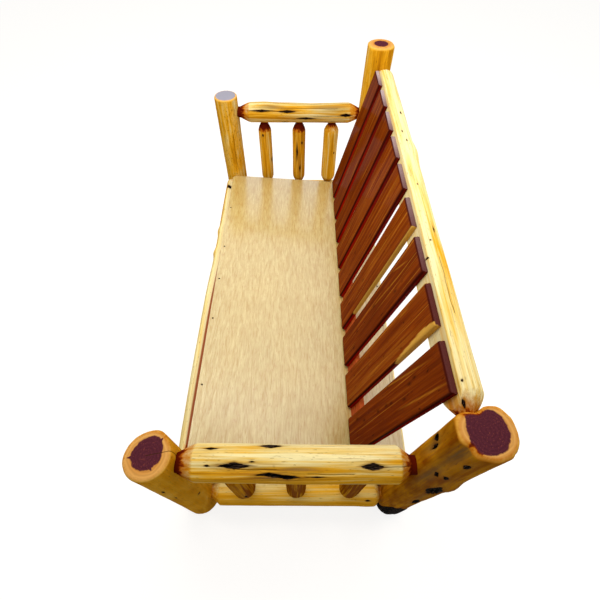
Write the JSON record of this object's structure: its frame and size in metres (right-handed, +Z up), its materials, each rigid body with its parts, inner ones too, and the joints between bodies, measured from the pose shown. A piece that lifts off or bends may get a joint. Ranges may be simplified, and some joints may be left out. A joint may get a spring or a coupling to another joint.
{
  "type": "log sofa",
  "caption": "Rustic sofa frame of peeled cedar logs with round tenon joints, a sloping plywood seat deck and a leaning back of upright red cedar slats.",
  "frame": {"origin": "on the floor, midway between the four posts", "axes": "+X along the seat, to the right of someone who faces the front of the sofa; -Y out of the front; +Z up"},
  "size_m": [1.9285, 0.8879, 0.9056],
  "materials": {
    "cedar_log": "varnished, satin",
    "cedar_board": "oiled",
    "plywood": "varnished, satin",
    "deck_screw": "bronze coated"
  },
  "bodies": {
    "root": {"arm_lower_rail_left": "cedar_log", "arm_lower_rail_right": "cedar_log", "arm_rail_left": "cedar_log", "arm_rail_right": "cedar_log", "arm_spindle_left_1": "cedar_log", "arm_spindle_left_2": "cedar_log", "arm_spindle_left_3": "cedar_log", "arm_spindle_right_1": "cedar_log", "arm_spindle_right_2": "cedar_log", "arm_spindle_right_3": "cedar_log", "back_slat_1": "cedar_board", "back_slat_2": "cedar_board", "back_slat_3": "cedar_board", "back_slat_4": "cedar_board", "back_slat_5": "cedar_board", "back_slat_6": "cedar_board", "back_slat_7": "cedar_board", "back_slat_8": "cedar_board", "back_slat_9": "cedar_board", "back_top_rail": "cedar_log", "cleat_screw_1": "deck_screw", "cleat_screw_2": "deck_screw", "cleat_screw_3": "deck_screw", "cleat_screw_4": "deck_screw", "cleat_screw_5": "deck_screw", "cleat_screw_6": "deck_screw", "cleat_screw_7": "deck_screw", "cleat_screw_8": "deck_screw", "cleat_screw_9": "deck_screw", "deck_screw_back_1": "deck_screw", "deck_screw_back_2": "deck_screw", "deck_screw_back_3": "deck_screw", "deck_screw_back_4": "deck_screw", "deck_screw_back_5": "deck_screw", "deck_screw_front_1": "deck_screw", "deck_screw_front_2": "deck_screw", "deck_screw_front_3": "deck_screw", "deck_screw_front_4": "deck_screw", "deck_screw_front_5": "deck_screw", "post_back_left": "cedar_log", "post_back_right": "cedar_log", "post_front_left": "cedar_log", "post_front_right": "cedar_log", "seat_deck": "plywood", "seat_rail_back": "cedar_log", "seat_rail_front": "cedar_log", "slat_cleat": "cedar_board"}
  },
  "joints": []
}
